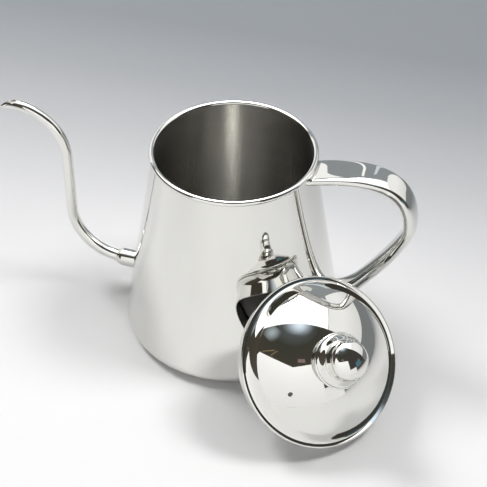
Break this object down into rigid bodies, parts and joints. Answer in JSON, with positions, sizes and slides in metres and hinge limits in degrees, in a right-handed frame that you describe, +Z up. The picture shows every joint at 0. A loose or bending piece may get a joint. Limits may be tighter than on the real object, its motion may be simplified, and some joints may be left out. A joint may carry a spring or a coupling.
{
  "type": "gooseneck kettle",
  "caption": "Conical polished steel drip kettle with a thin gooseneck spout, an open loop handle and a domed lid with a button knob.",
  "frame": {"origin": "centre of the kettle's round base, in the plane it stands on", "axes": "+Z up along the body's axis, +X toward the handle, -X toward the spout; the lid stands at the front right, toward +X and -Y"},
  "size_m": [0.2328, 0.1536, 0.1163],
  "materials": {
    "polished_steel": "polished",
    "satin_steel": "satin"
  },
  "bodies": {
    "kettle": {"body_shell": "polished_steel", "base_pan": "polished_steel", "spout_collar": "polished_steel", "spout_tube": "polished_steel", "handle": "polished_steel"},
    "lid": {"lid_cover": "polished_steel", "lid_skirt": "polished_steel", "knob_saucer": "polished_steel", "knob_button": "polished_steel", "knob_screw": "satin_steel", "knob_washer": "satin_steel"}
  },
  "joints": [
    {"name": "lid_lift", "type": "slide", "parent": "kettle", "child": "lid", "axis": [0.5575, -0.4678, 0.6858], "range_m": [0, 0.18]}
  ]
}
